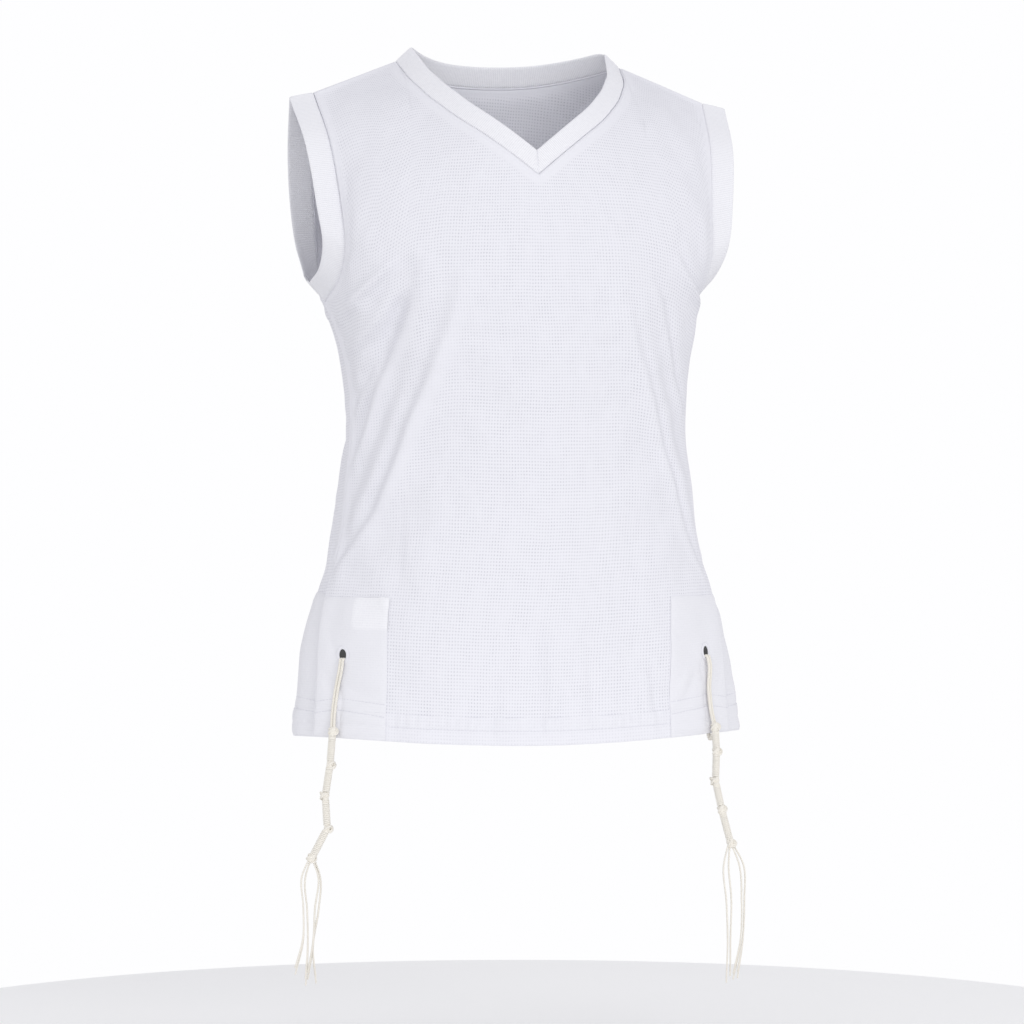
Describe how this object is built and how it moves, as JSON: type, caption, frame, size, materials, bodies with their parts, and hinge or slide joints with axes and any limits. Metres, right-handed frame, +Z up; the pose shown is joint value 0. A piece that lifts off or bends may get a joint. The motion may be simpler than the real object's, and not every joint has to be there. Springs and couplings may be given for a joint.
{
  "type": "tzitzit tank top",
  "caption": "Sleeveless V-neck undershirt of white mesh knit with rib bands, open side slits, corner patches with eyelets, and knotted string tassels at the front corners.",
  "frame": {"origin": "midway between the two points where the shoulder seams meet the neck band, where the garment rests on its wearer's shoulders", "axes": "+Z up, -Y the way the wearer faces, +X to the wearer's left"},
  "size_m": [0.3537, 0.1885, 0.7011],
  "materials": {
    "mesh_knit": "matt white eyelet-mesh knit",
    "rib_knit": "matt white fine rib knit",
    "plain_knit": "matt white plain knit",
    "eyelet_thread": "white embroidery thread with a slight sheen",
    "black_backing": "matt black",
    "cream_string": "matt cream twisted string"
  },
  "bodies": {
    "root": {"front_panel": "mesh_knit", "back_panel": "mesh_knit", "neck_band": "rib_knit", "armhole_band_right": "rib_knit", "armhole_band_left": "rib_knit", "patch_front_right": "plain_knit", "patch_front_left": "plain_knit", "patch_back_right": "plain_knit", "patch_back_left": "plain_knit", "eyelet_front_right": "eyelet_thread", "eyelet_front_left": "eyelet_thread", "eyelet_back_right": "eyelet_thread", "eyelet_back_left": "eyelet_thread", "eyelet_backing_front_right": "black_backing", "eyelet_backing_front_left": "black_backing", "eyelet_backing_back_right": "black_backing", "eyelet_backing_back_left": "black_backing", "tassel_right": "cream_string", "tassel_left": "cream_string"}
  },
  "joints": []
}
